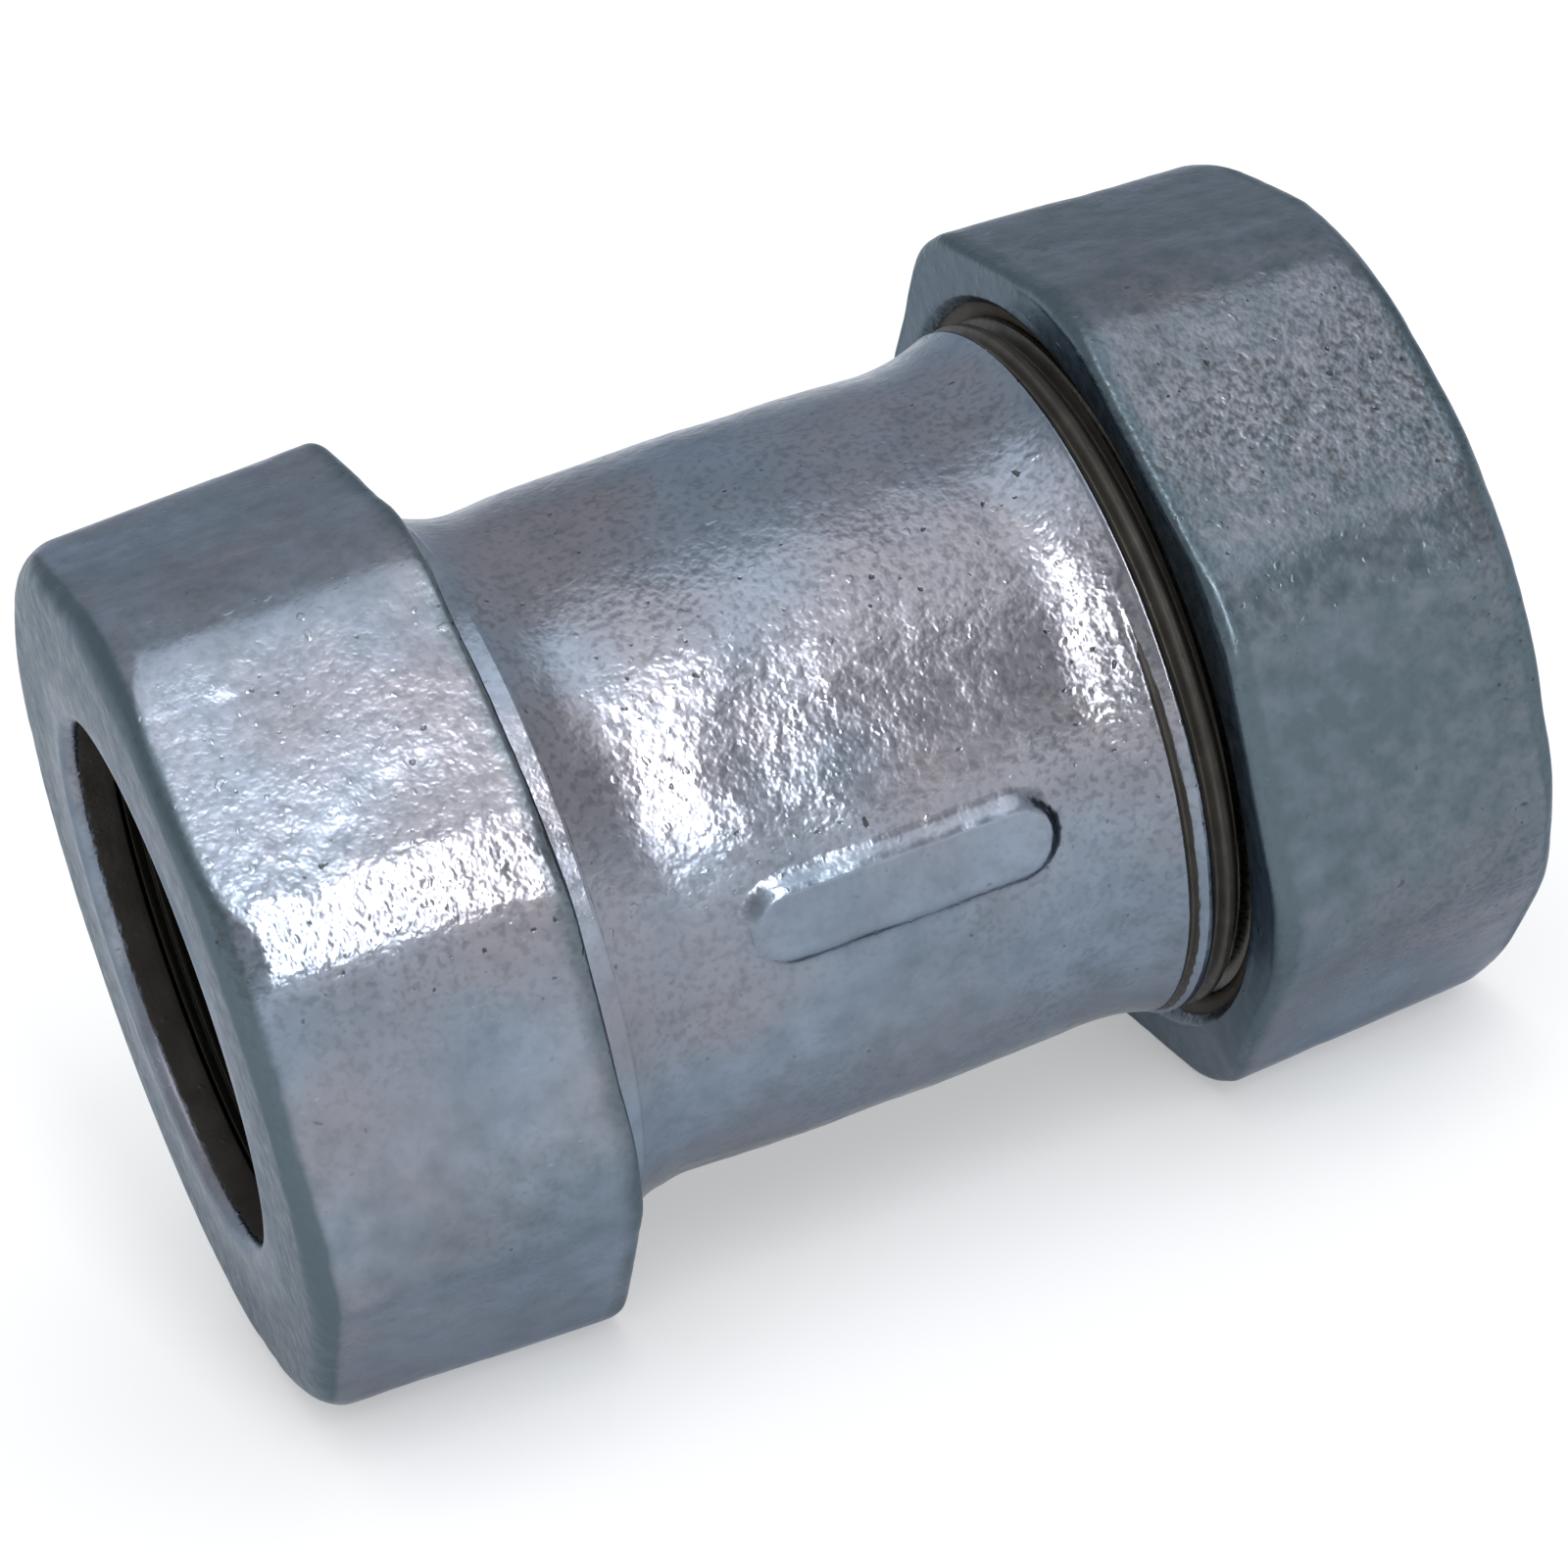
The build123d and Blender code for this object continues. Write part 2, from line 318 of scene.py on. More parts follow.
def mottledFinish(name, look):
    # two tones mixed by one fine noise, which also sets the roughness and the bump
    material, tree = newMaterial(name)
    place = addNode(tree, "ShaderNodeTexCoord").outputs["Object"]
    noise = addNode(tree, "ShaderNodeTexNoise", {
        "Vector": place, "Scale": perMetre(look["cellMm"]), "Detail": 3.0})
    colour = addNode(tree, "ShaderNodeMix", {
        0: noise, 6: linearColour(look["dark"]), 7: linearColour(look["light"])}, data_type="RGBA")
    rough = addNode(tree, "ShaderNodeMapRange", {
        "Value": noise, "To Min": look["roughLow"], "To Max": look["roughHigh"]})
    bump = addNode(tree, "ShaderNodeBump", {"Height": noise, "Distance": look["depthMm"] * mm})
    shader = addNode(tree, "ShaderNodeBsdfPrincipled", {
        "Base Color": colour, "Metallic": look["metallic"], "Roughness": rough, "Normal": bump})
    addNode(tree, "ShaderNodeOutputMaterial", {"Surface": shader})
    return material


zinc = galvanisedCasting("galvanised_casting", zincLook)
# Cut thread: bare oiled iron, nearly black in its roots, with a clean grey sheen along the crests
cutThread = mottledFinish("oiled_cut_thread", {
    "dark": "#24211e", "light": "#55534f", "metallic": 1.0,
    "roughLow": 0.18, "roughHigh": 0.38, "cellMm": 0.7, "depthMm": 0.02})
# Bore: as-cast skin under a film of brown oil, matt and very dark, and painted darker than that as painted shade for
# the unlit inside of the bore
oiledBoreShade = mottledFinish("oiled_cast_bore_painted_shade", {
    "dark": "#433d35", "light": "#5f574c", "metallic": 0.2,
    "roughLow": 0.45, "roughHigh": 0.7, "cellMm": 1.2, "depthMm": 0.08})
# Nitrile rubber: moulded, black, dull with a faint bloom
rubber = mottledFinish("nitrile_rubber", {
    "dark": "#151515", "light": "#262626", "metallic": 0.0,
    "roughLow": 0.5, "roughHigh": 0.68, "cellMm": 0.8, "depthMm": 0.01})
# Bright zinc-plated steel: turned and plated, a cool silver with a slight mottle
platedSteel = mottledFinish("zinc_plated_steel", {
    "dark": "#9a9b98", "light": "#c3c4c0", "metallic": 1.0,
    "roughLow": 0.24, "roughHigh": 0.36, "cellMm": 1.6, "depthMm": 0.004})
# Phosphated spring steel: crystalline and oiled, a charcoal that barely shines
phosphatedSteel = mottledFinish("phosphated_steel", {
    "dark": "#2a2825", "light": "#45423d", "metallic": 0.8,
    "roughLow": 0.4, "roughHigh": 0.6, "cellMm": 0.5, "depthMm": 0.01})
print("materials made")

# One right-hand helix serves the body's threads and the nuts'
thread = {
    "pitch": 2.309, "crest": 33.5, "depth": 1.45, "mesh": 0.15, "crestPlace": 27.64, "crestAngle": 203,
    "flankPress": 0.96, "firstGroove": 26.1, "leftGroove": 28.5, "fadeIn": 0.25, "runOut": 5.5,
    "shallowest": 0.62, "crestFlat": 0.12,
}


def threadWave(x, angle):
    # 1 on the crest and 0 in the root of a right-hand helix: a sine pressed towards straight flanks
    along = (x - thread["crestPlace"]) / thread["pitch"]
    turns = along - (np.degrees(angle) - thread["crestAngle"]) / 360
    flank = np.arcsin(thread["flankPress"] * np.cos(2 * pi * turns)) / asin(thread["flankPress"])
    return 0.5 + 0.5 * flank, turns


def threadCut(x, angle, first):
    # how deep the thread is cut past its first groove, 0 to 1: the wave's flanks below a flat crest,
    # which is wide beside the flare, where the die ran out, and narrow from the third turn on
    wave, turns = threadWave(x, angle)
    groove = x - ((turns - 0.5) - np.round(turns - 0.5)) * thread["pitch"]
    started = smoothStep(first, first + thread["fadeIn"], groove)
    share = np.clip((groove - first) / thread["runOut"], 0, 1)
    flat = thread["shallowest"] * (1 - share) + thread["crestFlat"] * share
    return started * np.clip((1 - wave - flat) / (1 - thread["crestFlat"]), 0, 1)


_, bodyHigh = boxOf("body")
bodyShape = {
    "end": bodyHigh[0], "barrel": 32.25, "neck": 31.75, "neckPlace": 18.0, "leftNeck": 20.5,
    "flare": 33.4, "flarePlace": 27.4, "endChamfer": 1.6, "endRounding": 0.3,
    "core": 27.05, "coreEnd": 27.0, "runOut": 31.0, "land": 24.9,
    "seatStart": 37.5, "seatInner": 27.4, "seatMouth": 29.9, "boreStep": 2.0,
    "padLength": 30.2, "padWidth": 8.6, "padHeight": 0.88, "padSlope": 1.5, "padFoot": 0.2, "padSide": 20,
    "columns": 276, "crowding": 0.45, "barrelRows": 62, "flareRows": 15,
    "fineTo": 33, "finePerTurn": 13, "coarsePerTurn": 8,
    "lumpMm": 11.0, "lumpDepth": 0.05, "lumpSeed": 3, "dimpleMm": 2.6, "dimpleDepth": 0.012, "dimpleSeed": 4,
    "skinFade": 1.5,
}
# patches are (x, turn, reach in x, reach in turn, amount)
bodySkin = {
    "crust": 0.6, "crustMm": 15, "crustWave": 0.12, "crustSeed": 5, "crustLimits": (0.05, 2), "padCrustLoss": 0.6,
    "crustPatches": [(-4, 45, 40, 38, 0.75), (24, 20, 8, 40, 0.7), (0, 150, 30, 40, 0.6),
                     (0, -125, 26, 40, 0.4), (0, -25, 40, 18, -0.3)],
    "crustFadeFrom": 24, "crustFadePast": 1,
    "patina": 0.05, "patinaPatches": [(24, 10, 10, 40, 0.1), (0, -25, 30, 25, 0.15)],
    "wearTurns": (0.3, 0.5), "bareBelow": 0.2, "threadFinishFrom": 31.0,
}


def barrelRadius(x):
    # a parabola that swells in the middle, then an arc tangent to it up to the flare's edge
    shape = bodyShape
    far = np.abs(x)
    neckPlace = np.where(x > 0, shape["neckPlace"], shape["leftNeck"])
    tilt = np.arctan(2 * (shape["barrel"] - shape["neck"]) / neckPlace)
    middle = shape["barrel"] - (shape["barrel"] - shape["neck"]) * (far / neckPlace) ** 2
    run = shape["flarePlace"] - neckPlace
    rise = shape["flare"] - shape["neck"]
    arc = (run * run + rise * rise) / 2 / (run * np.sin(tilt) + rise * np.cos(tilt))
    beyond = np.clip(far - neckPlace, 0, run) - arc * np.sin(tilt)
    flare = shape["neck"] + arc * np.cos(tilt) - np.sqrt(arc * arc - beyond ** 2)
    return np.where(far < neckPlace, middle, flare)


def padRise(x, z):
    # distance to a stadium's outline turned into a flat top with a soft slope
    shape = bodyShape
    straight = (shape["padLength"] - shape["padWidth"]) / 2
    away = np.hypot(np.maximum(np.abs(x) - straight, 0), z) - shape["padWidth"] / 2
    return 1 - smoothStep(-shape["padSlope"], shape["padFoot"], away)


def makeBody():
    # a closed grid: barrelRadius less the thread outside, then the bore's path back inside
    shape, skin = bodyShape, bodySkin
    end, flarePlace, neckPlace = shape["end"], shape["flarePlace"], shape["neckPlace"]
    mouth = thread["crest"] - shape["endChamfer"]
    # rows: finest where the thread shows beside the flare
    threadStart = thread["firstGroove"] - thread["pitch"] / 2
    fine = np.arange(threadStart, shape["fineTo"], thread["pitch"] / shape["finePerTurn"])
    coarse = np.arange(shape["fineTo"], end, thread["pitch"] / shape["coarsePerTurn"])
    flareRows = np.linspace(neckPlace, threadStart, shape["flareRows"])[1:-1]
    half = np.concatenate([flareRows, fine, coarse, [end]])
    outer = np.concatenate([-half[::-1], np.linspace(-neckPlace, neckPlace, shape["barrelRows"]), half])
    bore = [(end, shape["seatMouth"], 0.3), (shape["seatStart"], shape["seatInner"], 0.4),
            (shape["seatStart"], shape["land"], 0.4), (shape["runOut"], shape["land"], 1.5),
            (shape["coreEnd"], shape["core"], 2.5)]
    other = [(-x, radius, rounding) for x, radius, rounding in reversed(bore)]
    inner = roundedPath([(end, mouth, 0), *bore, *other, (-end, mouth, 0)], shape["boreStep"])
    inner = inner[1:np.argmax(inner[:, 0] < -end + 1e-6)]
    # columns crowd together around the pad, at half a turn
    even = np.linspace(0, 2 * pi, shape["columns"], endpoint=False)[None]
    angle = even - shape["crowding"] * np.sin(even - pi)
    x = outer[:, None]
    far = np.abs(x)
    # the left end is the right one turned half round Z, so its helix starts on the other flank,
    # and the die ran less far there
    helixAngle = np.where(x > 0, angle, pi - angle) % (2 * pi)
    first = np.where(x > 0, thread["firstGroove"], thread["leftGroove"])
    cut = threadCut(far, helixAngle, first) * (far > threadStart)
    blank = np.where(far < flarePlace, barrelRadius(x), thread["crest"])
    radius = softMin(blank - thread["depth"] * cut, mouth + end - far, shape["endRounding"])
    points = np.concatenate([aroundAxis(x, radius, angle), aroundAxis(inner[:, :1], inner[:, 1:], angle)])
    isOuter = np.arange(len(points))[:, None] < len(outer)
    # the pad's flat face stands proud of the barrel on the flank that faces -Y
    onFlank = (points[..., 1] < 0) * (np.abs(points[..., 0]) < shape["padSide"])
    rise = padRise(points[..., 0], points[..., 2]) * onFlank * isOuter
    points[..., 1] += rise * (-(shape["barrel"] + shape["padHeight"]) - points[..., 1])
    # the cast skin is a little lumpy, and the cut threads aren't
    along = np.abs(points[..., 0])
    cast = isOuter * (1 - smoothStep(threadStart - shape["skinFade"], threadStart, along))
    lumps = shape["lumpDepth"] * waves(points, shape["lumpMm"], shape["lumpSeed"])
    lumps = lumps + shape["dimpleDepth"] * waves(points, shape["dimpleMm"], shape["dimpleSeed"])
    points = points + gridNormals(points) * (cast * lumps)[..., None]
    body = gridMesh("body_casting", points)
    # zinc stays on the first crest beside the flare, and past it the crests are bare too
    cutAway = np.ones(points.shape[:2])
    turnsIn = threadWave(far, helixAngle)[1] - (first - thread["firstGroove"]) / thread["pitch"]
    worn = smoothStep(*skin["wearTurns"], turnsIn)
    cutAway[:len(outer)] = np.maximum(smoothStep(0.0, skin["bareBelow"], cut), worn)
    along = np.abs(points[..., 0])
    crust = skin["crust"] + patchSum(points, skin["crustPatches"])
    crust = crust + skin["crustWave"] * waves(points, skin["crustMm"], skin["crustSeed"])
    crust = np.clip(crust, *skin["crustLimits"])
    smoother = smoothStep(skin["crustFadeFrom"], flarePlace + skin["crustFadePast"], along)
    crust = crust * (1 - skin["padCrustLoss"] * rise) * np.clip(1.5 - smoother, 0, 1)
    patina = skin["patina"] + patchSum(points, skin["patinaPatches"])
    paintSkin(body, cutAway=cutAway, crust=crust, patina=patina)
    finish = np.where(isOuter, np.where(along > skin["threadFinishFrom"], 1, 0), 2)
    giveFinishes(body, (zinc, cutThread, oiledBoreShade), finish)
    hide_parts("body")
    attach(body, "coupling_body")


makeBody()
print("body made")

nutLow, nutHigh = boxOf("nut_right")
nutShape = {
    "back": nutLow[0] - 0.3, "front": nutHigh[0] - 0.03, "halfFlats": 39.8, "draft": 2.4,
    "cornerRound": 6.0, "vertex": 41.8, "backEdge": 0.9, "frontEdge": 1.8,
    "backCorner": 1.4, "frontCorner": 4.0, "soften": 0.6,
    "countersink": 2.25, "mouthRound": 0.6, "reliefStart": 46.4, "relief": 34.35, "reliefEnd": 49.8,
    "coneLarge": 31.0, "lipBack": 55.5, "coneSmall": 28.9, "lip": 24.6, "lipRound": 1.3,
    "threadGap": 1.0, "mouthThread": 1.2, "mouthFade": (1.0, 2.5),
    "columns": 384, "edgeRows": 14, "sideRows": 46, "faceRows": 9, "boreStep": 0.5, "threadPerTurn": 10,
    "lumpMm": 13.0, "lumpDepth": 0.07, "dimpleMm": 3.0, "dimpleDepth": 0.015, "lumpCap": 0.02, "lumpBlend": 0.06,
}
# the rolled ends took a rougher coat, and the back face and the inside stayed smooth; painted shade darkens the back
# band and the front face to teal-grey
nutCoat = {
    "backBand": (0.5, 2.6), "backBandCrust": 0.4, "backBandShade": 0.6, "backFaceCrust": 0.3,
    "frontShadeBand": (-2.4, -1.2), "frontShadeBandRadius": (-4, 13), "frontFaceCrust": 0.15, "frontFaceDepth": 0.5,
    "crustMm": 15, "crustWave": 0.1, "crustLimits": (0.05, 2.5),
    "lipBare": (-0.3, 0.5), "mouthBare": (0.4, 0.6), "lipRows": 18, "threadTail": 4,
}
# the two castings froze differently: each has its own crusty patches, patina, and patches of painted shade in the
# same teal-grey
nutSkin = {
    "right": {
        "seed": 21, "frontFaceShade": 0.25, "crust": 0.3,
        "crustPatches": [(45, 46, 22, 17, 2.2), (57, 22, 5, 30, 1.2), (44, 135, 30, 40, 0.8), (52, -30, 12, 14, 1.0)],
        "patina": 0.5, "patinaPatches": [(44, 4, 40, 30, 0.35), (44, 90, 30, 20, 0.2), (44, -70, 40, 26, -0.6)]},
    "left": {
        "seed": 41, "frontFaceShade": 0.2, "crust": 0.3,
        "crustPatches": [(-44, 22, 40, 11, 1.1), (-44, 48, 40, 20, 0.5), (-44, 150, 30, 40, 0.8)],
        "patina": 0.1, "patinaPatches": [(-44, 90, 30, 25, 0.25), (-44, -22, 40, 12, 0.3)]},
}


def octagonRadius(angle, halfFlats, cornerRound):
    # a regular octagon, flat side down, whose corners are arcs of the given radius
    step = pi / 4
    fromFlat = np.abs((angle + step / 2) % step - step / 2)
    centre = halfFlats - cornerRound
    along = centre * tan(step / 2)
    flat = halfFlats / np.cos(fromFlat)
    reach = centre * np.cos(fromFlat) + along * np.sin(fromFlat)
    arc = reach + np.sqrt(np.maximum(reach ** 2 - centre ** 2 - along ** 2 + cornerRound ** 2, 0))
    return np.where(halfFlats * np.tan(fromFlat) <= along, flat, arc)


def edgeInset(distance, rounding):  # how far a quarter round stands in at a distance from the end
    left = np.clip(rounding - distance, 0, rounding)
    return rounding - np.sqrt(rounding ** 2 - left ** 2)


def nutOutside(x, angle):
    # a drafted octagon with rounded end edges, trimmed by a blank whose ends roll over more
    shape = nutShape
    fromBack, fromFront = x - shape["back"], shape["front"] - x
    drafted = fromBack * tan(radians(shape["draft"]))
    edges = edgeInset(fromBack, shape["backEdge"]) + edgeInset(fromFront, shape["frontEdge"])
    octagon = octagonRadius(angle, shape["halfFlats"] - drafted - edges, shape["cornerRound"] - edges)
    rolled = edgeInset(fromBack, shape["backCorner"]), edgeInset(fromFront, shape["frontCorner"])
    return softMin(octagon, shape["vertex"] - drafted - rolled[0] - rolled[1], shape["soften"])


def makeNut(side):
    # one closed grid: outside, front face, lip, cone, relief, thread, countersink, back face
    name = "right" if side > 0 else "left"
    shape, coat, skin = nutShape, nutCoat, nutSkin[name]
    back, front = shape["back"], shape["front"]
    angle = np.linspace(0, 2 * pi, shape["columns"], endpoint=False)[None]
    bore = thread["crest"] + thread["mesh"]
    mouth = bore + shape["countersink"]
    # outside rows crowd towards both ends, where the edges roll over
    turn = np.linspace(0, pi / 2, shape["edgeRows"])
    sideStart, sideEnd = back + shape["backCorner"], front - shape["frontCorner"]
    x = np.concatenate([back + shape["backCorner"] * (1 - np.cos(turn)),
                        np.linspace(sideStart, sideEnd, shape["sideRows"])[1:-1],
                        front - shape["frontCorner"] * (1 - np.cos(turn[::-1]))])[:, None]
    outside = nutOutside(x, angle)
    share = np.linspace(0, 1, shape["faceRows"])[1:-1, None]
    frontInner = shape["lip"] + shape["lipRound"]
    frontFace = outside[-1:] * (1 - share) + frontInner * share
    backFace = (mouth + shape["mouthRound"]) * (1 - share) + outside[:1] * share
    threadEnd = shape["reliefStart"] - shape["threadGap"]
    inner = roundedPath([
        (front, frontInner + 1, 0), (front, shape["lip"], shape["lipRound"]), (shape["lipBack"], shape["lip"], 0.2),
        (shape["lipBack"], shape["coneSmall"], 0.3), (shape["reliefEnd"], shape["coneLarge"], 0.2),
        (shape["reliefEnd"], shape["relief"], 0.3), (shape["reliefStart"], shape["relief"], 0.3),
        (threadEnd, bore, 0), (back + shape["countersink"], bore, 0),
        (back, mouth, shape["mouthRound"]), (back, mouth + 2, 0)], shape["boreStep"])
    # the thread's own rows are finer than the path's, so that its flanks are crisp
    threadStart = back + shape["countersink"] - shape["mouthThread"]
    before = inner[(inner[:, 0] >= threadEnd) & (np.arange(len(inner)) > 0)]
    after = inner[(inner[:, 0] < threadStart) & (inner[:, 1] < mouth + shape["mouthRound"])]
    threadX = np.arange(threadEnd, threadStart, -thread["pitch"] / shape["threadPerTurn"])[1:, None]
    wave, _ = threadWave(threadX, angle)
    fadeFrom, fadeTo = back + shape["mouthFade"][0], back + shape["mouthFade"][1]
    plain = np.maximum(bore, mouth - (threadX - back))
    plain = plain - shape["countersink"] * smoothStep(fadeFrom, fadeTo, threadX)
    female = np.maximum(bore - thread["depth"] * (1 - wave), plain)
    rowsX = np.concatenate([x, np.full_like(share, front), before[:, :1], threadX, after[:, :1],
                            np.full_like(share, back)])
    flat = 0 * angle
    rowsRadius = np.concatenate([outside, frontFace, before[:, 1:] + flat, female, after[:, 1:] + flat, backFace])
    points = aroundAxis(rowsX, rowsRadius, angle, side)
    # where the outside, front face, lip to relief, thread and countersink end
    counts = np.cumsum([len(x), len(share), len(before), len(threadX), len(after)])
    row = np.arange(len(points))[:, None]
    cast = (row < counts[1]) | (row >= counts[4])
    lumps = shape["lumpDepth"] * waves(points, shape["lumpMm"], skin["seed"])
    lumps = lumps + shape["dimpleDepth"] * waves(points, shape["dimpleMm"], skin["seed"] + 1)
    lumps = softMin(lumps, shape["lumpCap"], shape["lumpBlend"])  # so that nothing stands past the drawn surface
    points = points + gridNormals(points) * (cast * lumps)[..., None]
    nut = gridMesh("union_nut_" + name, points)
    # bare from just inside the lip's rounding to just inside the countersink
    lipFrom, lipTo = shape["lipRound"] + coat["lipBare"][0], shape["lipRound"] + coat["lipBare"][1]
    inLip = smoothStep(lipFrom, lipTo, front - rowsX) + flat
    inMouth = smoothStep(coat["mouthBare"][0], coat["mouthBare"][1] * shape["countersink"], mouth - rowsRadius)
    cutAway = np.where(row < counts[1], 0, np.where(row < counts[2], inLip, np.where(row < counts[3], 1, inMouth)))
    onFront = rowsX >= front - coat["frontFaceDepth"]
    edgeBand = 1 - smoothStep(*coat["backBand"], rowsX - back) + flat
    bandFrom, bandTo = frontInner + coat["frontShadeBandRadius"][0], frontInner + coat["frontShadeBandRadius"][1]
    frontShadeBand = smoothStep(*coat["frontShadeBand"], rowsX - front) * smoothStep(bandFrom, bandTo, rowsRadius)
    crust = skin["crust"] + patchSum(points, skin["crustPatches"])
    crust = crust + coat["crustWave"] * waves(points, coat["crustMm"], skin["seed"] + 2)
    crust = crust * ~onFront + coat["backBandCrust"] * edgeBand + coat["frontFaceCrust"] * onFront
    crust = np.clip(crust, *coat["crustLimits"]) * np.where(row < counts[4], 1, coat["backFaceCrust"])
    # painted shade: the back band beside the body and the front face, most towards its outer edge, are painted a
    # darker teal-grey, and the nut's own patches darken its top and facing side
    patina = skin["patina"] + patchSum(points, skin["patinaPatches"]) + coat["backBandShade"] * edgeBand
    patina = patina + frontShadeBand + skin["frontFaceShade"] * onFront
    paintSkin(nut, cutAway=cutAway, crust=crust, patina=patina)
    finish = np.where((row >= counts[1] + coat["lipRows"]) & (row < counts[3]), 2, 0) + flat
    finish = np.where((row >= counts[2]) & (row < counts[3] - coat["threadTail"]), 1, finish)
    giveFinishes(nut, (zinc, cutThread, oiledBoreShade), finish)
    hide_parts("nut_" + name)
    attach(nut, name + "_nut")


makeNut(1)
makeNut(-1)
print("nuts made")

ringShape = {
    "columns": 192, "step": 0.4, "edge": 0.25, "gasketInner": 24.8, "gasketSeat": 27.3, "gasketRound": 0.5,
    "seatRound": 0.3, "washerInner": 25.0, "toothTip": 24.7, "teeth": 5, "toothDepth": 0.9,
    "toothRound": 0.06, "toothLean": 0.05, "gripTaper": 22, "split": 3.2,
}


def dressRing(ring, material, body, node):
    ring.data.materials.append(material)
    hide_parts(node)
    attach(ring, body)


def makeRings(side):
    # each ring is its rounded section carried once round the axis; the grip ring stops at its split
    name = "right" if side > 0 else "left"
    shape, edge = ringShape, ringShape["edge"]
    angle = np.linspace(0, 2 * pi, shape["columns"], endpoint=False)[None]
    low, high = boxOf("gasket_right")
    path = roundedPath([
        (low[0], shape["gasketInner"], shape["gasketRound"]), (low[0], shape["gasketSeat"], shape["seatRound"]),
        (high[0], high[1], shape["gasketRound"]), (high[0], shape["gasketInner"], shape["gasketRound"])],
        shape["step"])
    gasket = gridMesh("gasket_ring_" + name, aroundAxis(path[:, :1], path[:, 1:], angle, side))
    dressRing(gasket, rubber, "coupling_body", "gasket_" + name)
    low, high = boxOf("thrust_washer_right")
    path = roundedPath([
        (low[0], shape["washerInner"], edge), (low[0], high[1], edge),
        (high[0], high[1], edge), (high[0], shape["washerInner"], edge)], shape["step"])
    washer = gridMesh("washer_ring_" + name, aroundAxis(path[:, :1], path[:, 1:], angle, side))
    dressRing(washer, platedSteel, name + "_rings", "thrust_washer_" + name)
    low, high = boxOf("grip_ring_right")
    small = high[1] - (high[0] - low[0]) * tan(radians(shape["gripTaper"]))
    pitch = (high[0] - low[0]) / shape["teeth"]
    tip, root = shape["toothTip"], shape["toothTip"] + shape["toothDepth"]
    teeth = []
    for i in range(shape["teeth"]):
        start = high[0] - i * pitch
        teeth += [(start, tip, shape["toothRound"]), (start - pitch + shape["toothLean"], root, shape["toothRound"])]
    path = roundedPath([*teeth, (low[0], high[1], edge), (high[0], small, edge)], shape["step"])
    # the split's faces are parallel, so the gap's angle is wider at a smaller radius
    gap = np.arcsin(shape["split"] / 2 / path[:, 1:])
    angle = pi / 2 + gap + (2 * pi - 2 * gap) * np.linspace(0, 1, shape["columns"])[None]
    points = aroundAxis(path[:, :1], path[:, 1:], angle, side)
    grip = gridMesh("split_grip_ring_" + name, points, closeColumns=False)
    dressRing(grip, phosphatedSteel, name + "_rings", "grip_ring_" + name)


makeRings(1)
makeRings(-1)
print("rings made")

# the floor glows a little less under the object, so that the metal's lower half has a tone
stage = {
    "floorRadius": 12.0, "floorSides": 96, "floorColour": "#dadada",
    "glowNear": 0.34, "glowFar": 0.5, "nearReach": 0.2, "farReach": 0.45,
    "horizon": "#ffffff", "low": "#dadde1", "overhead": "#dddfe2", "strength": 0.95,
    "lowClimb": (0.02, 0.3), "highClimb": (0.35, 0.8),
    "ceilingAzimuth": 15, "ceilingElevation": 71, "ceilingReach": 36, "ceilingCore": 5, "ceilingStrength": 2.35,
}


def makeFloor():
    # a flat disc at the object's lowest point: a circle's points joined by one face
    low = cadBounds[0][2]
    angle = np.linspace(0, 2 * pi, stage["floorSides"], endpoint=False)
    ring = np.stack([np.cos(angle), np.sin(angle), 0 * angle], 1) * stage["floorRadius"]
    mesh = bpy.data.meshes.new("studio_floor")
    mesh.from_pydata((ring + [0, 0, low]).tolist(), [], [list(range(stage["floorSides"]))])
    floor = bpy.data.objects.new("studio_floor", mesh)
    bpy.context.scene.collection.objects.link(floor)
    material, tree = newMaterial("white_studio_floor")  # matt white paint that the camera sees as white
    paint = addNode(tree, "ShaderNodeBsdfDiffuse", {"Color": linearColour(stage["floorColour"])})
    rays = addNode(tree, "ShaderNodeLightPath").outputs
    seen = addNode(tree, "ShaderNodeMath", {
        0: rays["Is Camera Ray"], 1: rays["Is Glossy Ray"]}, operation="MAXIMUM")
    seen = addNode(tree, "ShaderNodeMath", {0: seen, 1: rays["Is Transmission Ray"]}, operation="MAXIMUM")
    place = addNode(tree, "ShaderNodeTexCoord").outputs["Object"]
    reach = addNode(tree, "ShaderNodeVectorMath", {0: place}, operation="LENGTH")
    sweep = addNode(tree, "ShaderNodeMapRange", {
        "Value": reach, "From Min": stage["nearReach"], "From Max": stage["farReach"],
        "To Min": stage["glowNear"], "To Max": stage["glowFar"]})
    level = addNode(tree, "ShaderNodeMath", {0: seen, 1: sweep}, operation="MULTIPLY")
    glow = addNode(tree, "ShaderNodeEmission", {"Color": (1, 1, 1, 1), "Strength": level})
    both = addNode(tree, "ShaderNodeAddShader", {0: paint, 1: glow})
    addNode(tree, "ShaderNodeOutputMaterial", {"Surface": both})
    mesh.materials.append(material)


def direction(azimuth, elevation):  # azimuth 0 is the -Y side, and 90 the +X side
    a, e = radians(azimuth), radians(elevation)
    return Vector((sin(a) * cos(e), -cos(a) * cos(e), sin(e)))


# a lamp's strength is its face's brightness, where 1 looks as bright as white paper
lamps = {
    "tall_softbox": {"azimuth": 2.9, "elevation": 34, "distance": 2.0, "width": 0.24, "height": 2.1, "strength": 13},
}


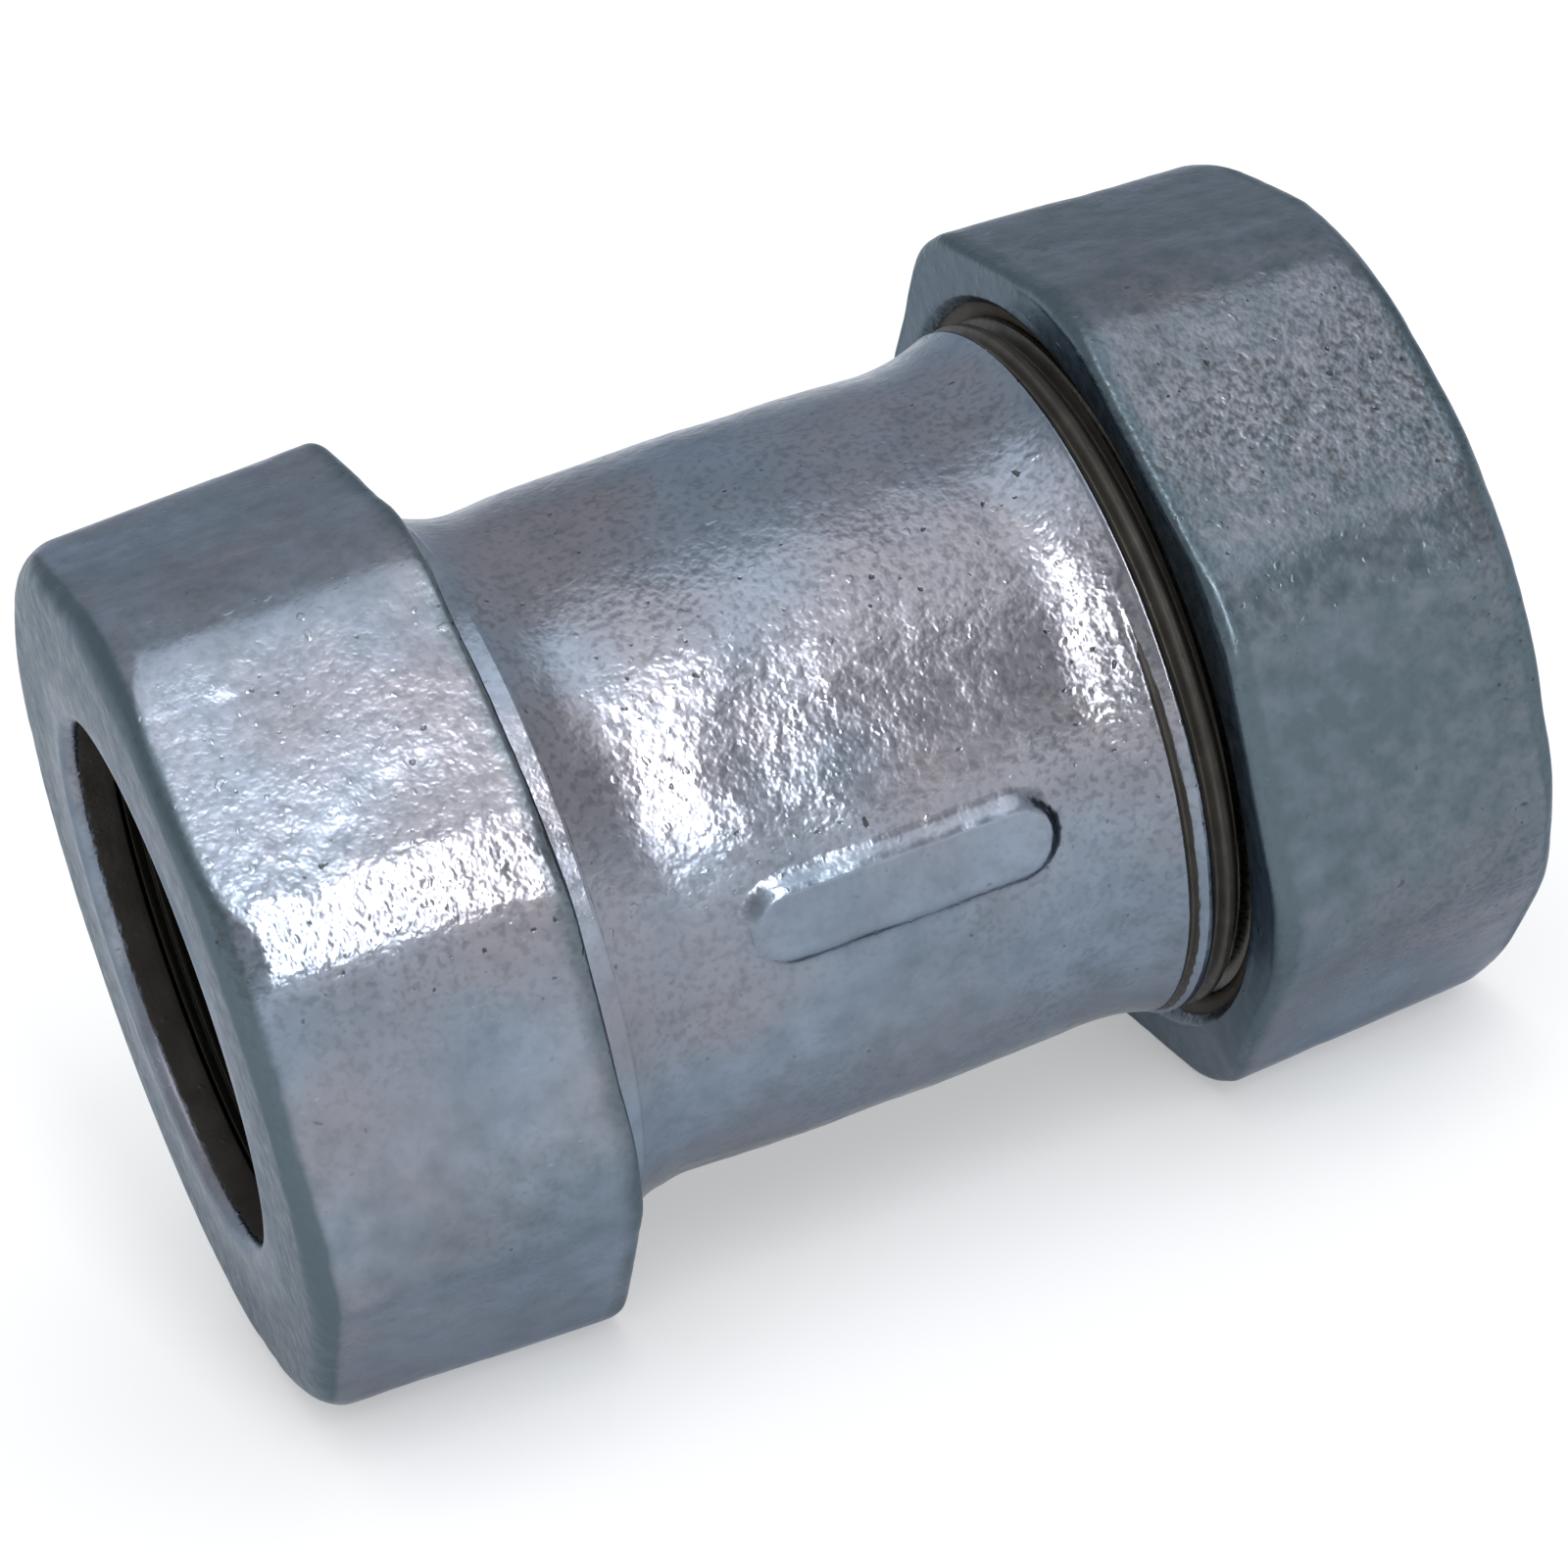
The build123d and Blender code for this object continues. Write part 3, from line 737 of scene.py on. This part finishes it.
def makeLamp(name, lamp):
    light = bpy.data.lights.new(name, "AREA")
    light.shape = "RECTANGLE"
    light.size = lamp["width"]
    light.size_y = lamp["height"]
    light.energy = lamp["strength"] * pi * lamp["width"] * lamp["height"]
    holder = bpy.data.objects.new(name, light)
    bpy.context.scene.collection.objects.link(holder)
    way = direction(lamp["azimuth"], lamp["elevation"])
    holder.location = way * lamp["distance"]
    holder.rotation_euler = way.to_track_quat("Z", "Y").to_euler()


def makeAir():  # white at the horizon, a shade greyer above, with a soft-edged brighter ceiling
    world = bpy.data.worlds.new("studio_air")
    world.use_nodes = True
    tree = world.node_tree
    tree.nodes.clear()
    way = addNode(tree, "ShaderNodeTexCoord").outputs["Generated"]
    height = addNode(tree, "ShaderNodeSeparateXYZ", {"Vector": way}).outputs["Z"]
    tone = linearColour(stage["horizon"])
    for climb, shade in (("lowClimb", "low"), ("highClimb", "overhead")):
        share = addNode(tree, "ShaderNodeMapRange", {
            "Value": height, "From Min": stage[climb][0], "From Max": stage[climb][1]},
            interpolation_type="SMOOTHSTEP")
        tone = addNode(tree, "ShaderNodeMix", {0: share, 6: tone, 7: linearColour(stage[shade])}, data_type="RGBA")
    # the ceiling's brightness falls off by the angle from its middle
    middle = direction(stage["ceilingAzimuth"], stage["ceilingElevation"])
    facing = addNode(tree, "ShaderNodeVectorMath", {0: way, 1: middle}, operation="DOT_PRODUCT").outputs["Value"]
    reach, core = cos(radians(stage["ceilingReach"])), cos(radians(stage["ceilingCore"]))
    strength = addNode(tree, "ShaderNodeMapRange", {
        "Value": facing, "From Min": reach, "From Max": core,
        "To Min": stage["strength"], "To Max": stage["ceilingStrength"]}, interpolation_type="SMOOTHSTEP")
    air = addNode(tree, "ShaderNodeBackground", {"Color": tone, "Strength": strength})
    addNode(tree, "ShaderNodeOutputWorld", {"Surface": air})
    bpy.context.scene.world = world


makeFloor()
for lampName, lamp in lamps.items():
    makeLamp(lampName, lamp)
makeAir()

# the camera's place and turn were worked out from points of the photo
view = {
    "placeMm": (-120.6, -432.0, 186.6), "azimuth": -15.67, "elevation": 22.77, "roll": 13.37,
    "lens": 121.43, "sensor": 36,
}


def makeCamera():
    a, e, r = radians(view["azimuth"]), radians(view["elevation"]), radians(view["roll"])
    right = Vector((cos(a), sin(a), 0))
    ahead = Vector((-sin(a) * cos(e), cos(a) * cos(e), -sin(e)))
    up = right.cross(ahead)
    sideways = right * cos(r) - up * sin(r)
    upright = right * sin(r) + up * cos(r)
    lens = bpy.data.cameras.new("photo_camera")
    lens.lens = view["lens"]
    lens.sensor_width = view["sensor"]
    camera = bpy.data.objects.new("photo_camera", lens)
    bpy.context.scene.collection.objects.link(camera)
    turn = Matrix((sideways, upright, -ahead)).transposed()
    camera.matrix_world = Matrix.Translation(Vector(view["placeMm"]) * mm) @ turn.to_4x4()
    bpy.context.scene.camera = camera


makeCamera()
bpy.context.scene.view_settings.view_transform = "Standard"
print("studio made")
